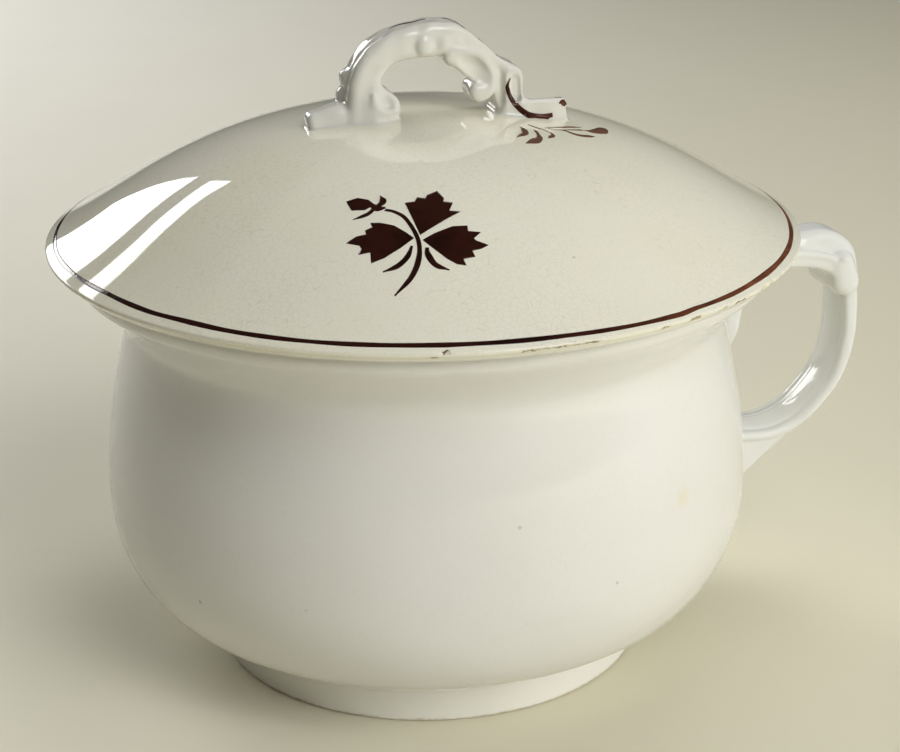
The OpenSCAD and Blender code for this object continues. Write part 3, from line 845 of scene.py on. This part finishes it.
# How far the hand-painted band strays outward: direction and distance
DRIFT = [(-180, 0.0), (-156, -0.6), (-145, 0.0), (-125, 0.2), (-104, 0.35), (-85, 0.5), (-72, 1.2),
         (-66.5, 1.4), (-63.5, 0.9), (-55, 0.9), (-40, 0.4), (-14, 0.0), (180, 0.0)]
drift = np.interp((np.degrees(turn) + 180) % 360 - 180, *np.transpose(DRIFT))
middle = BAND_R + drift + 0.10 * waver(turn, (3, 5, 8, 13), 3)
wide = BAND_W + 0.22 * waver(turn, (2, 4, 7, 17, 31), 5)
shares = np.linspace(-0.5, 0.5, 5)
r = middle[:, None] + wide[:, None] * shares
x = r * np.cos(turn)[:, None]
y = r * np.sin(turn)[:, None]
z = lid_top(x, y)
swell = BAND_UP * (1 - (2 * shares) ** 2)
top = np.stack([x, y, z + swell - BAND_SINK], -1)
bottom = np.stack([x, y, z - PAINT_DOWN], -1)
points, faces = slab(top, bottom, True)
piece("band", points, faces, "lid", "lustre", lustre, "lid_band")


def stroke(path, wide, count=40):
    """Grid of plan points of a brush stroke along a path, with its width given at even steps."""
    spine = smooth_curve(path, count)
    along = np.gradient(spine, axis=0)
    along /= np.linalg.norm(along, axis=1)[:, None]
    across = np.stack([-along[:, 1], along[:, 0]], -1)
    half = spread(np.linspace(0, 1, count), wide) / 2
    shares = np.linspace(-1.0, 1.0, 7)
    return spine[:, None, :] + across[:, None, :] * (half[:, None] * shares)[..., None]


def painted(name, strokes, place, paint, nodes):
    """One piece of lustre from several strokes, each laid onto the lid."""
    all_points = []
    all_faces = []
    for plan in strokes:
        x, y = place(plan[..., 0], plan[..., 1])
        z = lid_top(x, y)
        top = np.stack([x, y, z + PAINT_UP], -1)
        bottom = np.stack([x, y, z - PAINT_DOWN], -1)
        points, faces = slab(top, bottom, False)
        start = sum(len(p) for p in all_points)
        all_points.append(points)
        all_faces += [[start + i for i in f] for f in faces]
    piece(name, np.concatenate(all_points), all_faces, "lid", "lustre", paint, *nodes)


def fan(base, edge, rows=24):
    """Plan grid of a leaf that fans out from its base to a jagged edge."""
    base = np.array(base, float)
    fine = []
    for a, b in zip(edge[:-1], edge[1:]):
        fine.append(np.linspace(a, b, 6, endpoint=False))
    rim = np.concatenate(fine + [np.array(edge[-1:], float)])
    shares = np.linspace(0.02, 1.0, rows)
    return base + shares[None, :, None] * (rim - base)[:, None, :]


# Jagged outer edges of the front sprig's leaves, in its own coordinates
LEFT_LEAF = [(-3.0, 2.2), (-6.6, 5.2), (-10.5, 6.6), (-13.5, 6.9), (-12.9, 5.0), (-15.0, 4.0), (-14.6, 2.4),
             (-17.4, 1.9), (-20.3, -0.2), (-16.4, -1.6), (-15.9, -2.6), (-16.6, -4.9), (-13.2, -4.4),
             (-12.8, -8.3), (-9.2, -6.8), (-4.8, -3.6)]
RIGHT_LEAF = [(4.2, -3.2), (8.6, -7.2), (11.4, -8.9), (14.1, -9.1), (13.2, -7.0), (16.6, -5.9), (15.8, -3.8),
              (18.2, -2.9), (20.4, -1.2), (17.0, 0.0), (16.2, 0.8), (18.2, 3.4), (14.6, 3.4), (14.4, 5.6),
              (10.2, 5.0), (5.0, 2.0)]
TOP_LEAF = [(3.0, 4.0), (7.6, 7.4), (12.4, 11.3), (9.2, 11.6), (10.2, 15.2), (7.4, 15.6), (7.6, 17.2),
            (5.6, 20.6), (2.6, 18.4), (2.2, 16.9), (-0.2, 17.4), (-0.9, 15.4), (-3.8, 14.9),
            (-2.2, 10.6), (0.2, 5.0)]
BUD = [(-13.2, 14.2), (-15.4, 12.6), (-19.2, 13.0), (-21.0, 17.4), (-17.6, 18.6), (-14.4, 17.2),
       (-13.0, 15.4)]
FRONT_R = 83.5
FRONT_TURN = math.radians(-105.3)


def front_place(u, v):
    """Plan place of the front sprig's own coordinates: along the edge and inward."""
    c, s = math.cos(FRONT_TURN), math.sin(FRONT_TURN)
    return (FRONT_R - v) * c - u * s, (FRONT_R - v) * s + u * c


front_strokes = [
    stroke([(-5.9, -19.4), (-1.2, -13.2), (0.7, -6.6), (0.2, 0.0), (-3.3, 7.8), (-6.5, 10.9), (-9.6, 12.2)],
           [0.5, 1.5, 1.7, 1.3, 1.2, 1.2, 1.0], 60),
    fan((-0.8, 0.1), LEFT_LEAF),
    fan((1.6, -0.6), RIGHT_LEAF),
    fan((0.9, 1.2), TOP_LEAF),
    fan((-13.0, 14.6), BUD),
    stroke([(-13.6, 14.8), (-11.6, 13.0), (-9.3, 13.0)], [1.6, 2.6, 0.8]),
    stroke([(-11.4, 14.0), (-10.2, 16.0), (-11.0, 18.8)], [1.6, 2.2, 0.4]),
    stroke([(-12.8, 12.6), (-14.6, 10.6), (-18.6, 8.9)], [1.2, 1.4, 0.3]),
    stroke([(-1.4, -2.8), (-2.6, -6.6), (-5.4, -9.8), (-9.4, -11.5)], [0.8, 1.6, 1.6, 0.4]),
    stroke([(2.9, -3.4), (3.2, -5.8), (5.4, -9.4), (9.3, -11.0)], [1.1, 1.9, 1.6, 0.4]),
]
painted("front_sprig", front_strokes, front_place, lustre, ("lid_sprig_front",))


def between(one_edge, other_edge, count=40):
    """Plan grid of a leaf between its two edges, which share their ends."""
    shares = np.linspace(0.0, 1.0, 7)[None, :, None]
    one = smooth_curve(one_edge, count)[:, None]
    other = smooth_curve(other_edge, count)[:, None]
    return one * (1 - shares) + other * shares


side_strokes = [
    between([(26.5, -20.0), (27.3, -21.9), (28.0, -24.0), (27.6, -26.9), (26.4, -28.6), (24.4, -29.6),
             (22.5, -30.6)],
            [(26.5, -20.0), (26.5, -21.6), (25.9, -23.8), (25.7, -25.7), (24.9, -27.2), (23.8, -28.5),
             (22.5, -30.6)]),
    between([(30.2, -23.1), (31.1, -24.4), (31.0, -27.8), (31.0, -30.4), (29.9, -33.1), (28.0, -35.2),
             (23.8, -35.6)],
            [(30.2, -23.1), (30.1, -25.1), (30.0, -27.2), (29.1, -30.0), (27.1, -31.5), (25.3, -33.6),
             (23.8, -35.6)]),
    between([(34.9, -24.2), (35.7, -25.2), (35.9, -27.5), (35.2, -29.0), (32.8, -30.5)],
            [(34.9, -24.2), (35.1, -26.0), (34.4, -27.6), (33.6, -28.2), (32.8, -30.5)]),
    stroke([(30.0, -18.0), (30.8, -19.5), (32.3, -21.3), (33.7, -22.5), (34.7, -24.2)],
           [0.3, 0.6, 0.7, 0.6, 0.4]),
    stroke([(34.8, -20.7), (37.7, -19.3), (41.5, -18.1), (43.8, -17.1), (48.5, -15.5)],
           [0.3, 0.5, 1.0, 1.1, 0.3]),
    stroke([(35.7, -20.8), (37.7, -21.6), (40.1, -21.2), (43.7, -20.0), (47.7, -18.6)],
           [0.3, 0.4, 0.5, 0.7, 1.0]),
    between([(47.4, -18.5), (50.1, -17.7), (52.8, -15.1), (55.7, -11.7), (57.9, -10.9), (58.5, -12.8)],
            [(47.4, -18.5), (49.2, -18.9), (50.7, -19.8), (53.7, -19.3), (56.8, -17.2), (58.5, -12.8)]),
    stroke([(40.1, -21.4), (41.5, -22.0), (43.0, -23.6), (44.7, -24.6), (47.0, -24.5), (50.5, -23.4)],
           [0.3, 1.0, 1.5, 1.9, 1.9, 0.3]),
]
painted("side_sprig", side_strokes, lambda x, y: (x, y), rubbed_lustre, ("lid_sprig_side",))


# Lustre touches on the branch handle, laid onto the modelled surface
def onto_branch(plan, axis):
    """Puts points onto the branch handle: the near side if the axis is 1, else its top."""
    field = branch.swapaxes(1, 2) if axis == 1 else branch[:, :, ::-1]
    low = grid.low[[0, 2]] if axis == 1 else grid.low[[0, 1]]
    i = np.clip((plan[..., 0] - low[0]) / grid.step, 0, field.shape[0] - 2)
    k = np.clip((plan[..., 1] - low[1]) / grid.step, 0, field.shape[1] - 2)
    i0 = i.astype(int)
    k0 = k.astype(int)
    depth = np.zeros(i.shape)
    for di in (0, 1):
        for dk in (0, 1):
            column = field[i0 + di, k0 + dk]
            j = np.maximum(np.argmax(column < 0, axis=-1), 1)
            before = np.take_along_axis(column, (j - 1)[..., None], -1)[..., 0]
            after = np.take_along_axis(column, j[..., None], -1)[..., 0]
            share = (i - i0 if di else 1 - i + i0) * (k - k0 if dk else 1 - k + k0)
            depth += share * (j - 1 + before / (before - after))
    if axis == 1:
        return grid.low[1] + grid.step * depth
    return grid.axes[2][-1] - grid.step * depth


def touches(name, near, above):
    """Strokes of lustre on the near side and on the top of the branch handle, as one piece."""
    slabs = []
    for plan in near:
        y = onto_branch(plan, 1)
        top = np.stack([plan[..., 0], y - PAINT_UP, plan[..., 1]], -1)
        bottom = np.stack([plan[..., 0], y + PAINT_DOWN, plan[..., 1]], -1)
        slabs.append(slab(top, bottom, False))
    for plan in above:
        z = onto_branch(plan, 2)
        top = np.stack([plan[..., 0], plan[..., 1], z + PAINT_UP], -1)
        bottom = np.stack([plan[..., 0], plan[..., 1], z - PAINT_DOWN], -1)
        slabs.append(slab(top, bottom, False))
    all_faces = []
    start = 0
    for points, faces in slabs:
        all_faces += [[start + i for i in f] for f in faces]
        start += len(points)
    piece(name, np.concatenate([points for points, _ in slabs]), all_faces, "lid", "lustre", lustre)


touches("handle_lustre", [
    stroke([(27.4, 191.4), (26.4, 188.4), (28.4, 183.6), (32.2, 180.0), (36.6, 178.6), (41.0, 179.0)],
           [0.5, 1.5, 1.7, 1.9, 2.0, 1.4], 60),
    stroke([(34.6, 178.2), (36.4, 177.2), (39.0, 177.6)], [0.3, 0.9, 0.3]),
    stroke([(43.2, 182.6), (44.4, 182.7), (45.6, 181.6)], [0.5, 1.9, 1.1]),
], [
    stroke([(-9.8, 1.4), (-3.8, 1.6), (2.0, 1.2)], [0.3, 1.1, 0.5]),
    stroke([(7.4, 1.0), (11.0, 1.0), (14.8, 0.6)], [0.4, 1.1, 0.4]),
    stroke([(18.6, -0.8), (21.6, -0.8), (25.0, -1.2)], [0.3, 1.0, 0.4]),
    stroke([(42.6, -6.6), (43.8, -5.8), (45.0, -4.6)], [0.6, 2.0, 1.4]),
])


# Floor, light and camera
def floor_material():
    """Pale matt ground, lighter to the far left: painted window light there, with painted shade to the right
    and towards the back.
    """
    n = Nodes("ground")
    turned_place = n.tree.nodes.new("ShaderNodeMapping")
    turned_place.vector_type = "POINT"
    turned_place.inputs["Rotation"].default_value = (0, 0, VIEW_TURN)
    n.put(turned_place.inputs["Vector"], n.where)
    n.where = turned_place.outputs["Vector"]
    # Painted light and shade: lit to the left, shaded and warmer to the right, darker towards the back
    painted_shade_right = n.step(n.axis("X"), -0.55, 0.55)
    painted_shade_far = n.step(n.axis("Y"), -0.15, 1.3)
    near = n.mix(painted_shade_right, (0.86, 0.835, 0.71), (0.73, 0.685, 0.49))
    far = n.mix(painted_shade_right, (0.80, 0.78, 0.705), (0.60, 0.572, 0.440))
    colour = n.mix(painted_shade_far, near, far)
    colour = n.mix(n.step(n.noise(9, 3), 0.3, 0.7, 0.0, 0.06), colour, (0.60, 0.57, 0.47))
    n.put(n.shader.inputs["Base Color"], colour)
    n.put(n.shader.inputs["Roughness"], n.step(n.noise(30, 2), 0.3, 0.7, 0.75, 0.85))
    return n.material


FLOOR_HALF = 6.0
mesh = bpy.data.meshes.new("ground")
corners = [(FLOOR_HALF * x, FLOOR_HALF * y, 0) for x, y in ((-1, -1), (1, -1), (1, 1), (-1, 1))]
mesh.from_pydata(corners, [], [(0, 1, 2, 3)])
mesh.materials.append(floor_material())
floor = bpy.data.objects.new("ground", mesh)
bpy.context.scene.collection.objects.link(floor)


def product(tree, a, b):
    """Node that multiplies two values."""
    node = tree.nodes.new("ShaderNodeMath")
    node.operation = "MULTIPLY"
    tree.links.new(a, node.inputs[0])
    tree.links.new(b, node.inputs[1])
    return node.outputs[0]


def fade(tree, value):
    """Nodes that fade a value of 0 to 1 to nought at both its ends."""
    sides = []
    for start, end in ((0.0, 0.45), (1.0, 0.55)):
        node = tree.nodes.new("ShaderNodeMapRange")
        node.interpolation_type = "SMOOTHSTEP"
        tree.links.new(value, node.inputs["Value"])
        node.inputs["From Min"].default_value = start
        node.inputs["From Max"].default_value = end
        sides.append(node.outputs["Result"])
    return product(tree, *sides)


# Height of the point that the lamps stand round
LAMP_LEVEL = 0.09


def lamp(name, turn, rise, away, size, power, aim=(0.0, 0.0, LAMP_LEVEL), soft=True, glossy=True):
    """A rectangular lamp round the pot: degrees right of the camera, degrees up and distance.

    A soft one fades towards its edges and may be left out of the gloss.
    A hard one shows only in the gloss."""
    data = bpy.data.lights.new(name, "AREA")
    data.shape = "RECTANGLE"
    data.size, data.size_y = size
    data.energy = power
    a, e = math.radians(turn), math.radians(rise)
    obj = bpy.data.objects.new(name, data)
    obj.location = from_view(away * math.cos(e) * math.sin(a), -away * math.cos(e) * math.cos(a),
                             LAMP_LEVEL + away * math.sin(e))
    obj.rotation_euler = (from_view(*aim) - obj.location).to_track_quat("-Z", "Y").to_euler()
    obj.visible_camera = False
    obj.visible_glossy = glossy
    if soft:
        data.use_nodes = True
        tree = data.node_tree
        place = tree.nodes.new("ShaderNodeNewGeometry").outputs["Parametric"]
        split = tree.nodes.new("ShaderNodeSeparateXYZ")
        tree.links.new(place, split.inputs[0])
        glow = product(tree, fade(tree, split.outputs["X"]), fade(tree, split.outputs["Y"]))
        tree.links.new(glow, tree.nodes["Emission"].inputs["Strength"])
    else:
        obj.visible_diffuse = False
    bpy.context.scene.collection.objects.link(obj)


lamp("key", 52, 18, 1.7, (1.8, 1.2), 50, glossy=False)
lamp("key_gloss", 52, 18, 1.7, (1.8, 1.2), 20)
lamp("high_key", 30, 45, 1.7, (1.2, 1.2), 27)
lamp("top_fill", 150, 74, 1.7, (1.4, 1.4), 22, glossy=False)
lamp("back_fill", 140, 42, 1.7, (1.2, 1.2), 4.7, glossy=False)
lamp("side_fill", -148, 40, 1.7, (1.2, 1.2), 13, glossy=False)
lamp("window_wash", -142, 22, 1.9, (1.2, 1.2), 33, (-0.4, 0.9, 0.0), glossy=False)
lamp("low_pane", -142, 17.2, 2.10, (0.95, 0.54), 10.5, soft=False)
lamp("high_pane", -142, 31.1, 2.36, (0.95, 0.18), 3.6, soft=False)

world = bpy.data.worlds.new("studio")
world.use_nodes = True
bpy.context.scene.world = world
sky = world.node_tree.nodes["Background"]
sky.inputs["Color"].default_value = (0.95, 0.94, 0.90, 1.0)
sky.inputs["Strength"].default_value = 0.03

CAMERA_PLACE = (-0.15784, -0.63308, 0.34080)
CAMERA_TURN = math.radians(-14.716)
CAMERA_TILT = math.radians(90 - 21.005)
CAMERA_ROLL = -0.0103
CAMERA_LENS = 83.43
SENSOR = 36.0
lens = bpy.data.cameras.new("camera")
lens.lens = CAMERA_LENS
lens.sensor_width = SENSOR
lens.sensor_fit = "HORIZONTAL"
camera = bpy.data.objects.new("camera", lens)
bpy.context.scene.collection.objects.link(camera)
spin = Matrix.Rotation(CAMERA_TURN, 4, "Z") @ Matrix.Rotation(CAMERA_TILT, 4, "X")
spin = spin @ Matrix.Rotation(CAMERA_ROLL, 4, "Z")
camera.matrix_world = Matrix.Translation(CAMERA_PLACE) @ spin
bpy.context.scene.camera = camera

bpy.context.scene.view_settings.view_transform = "Standard"
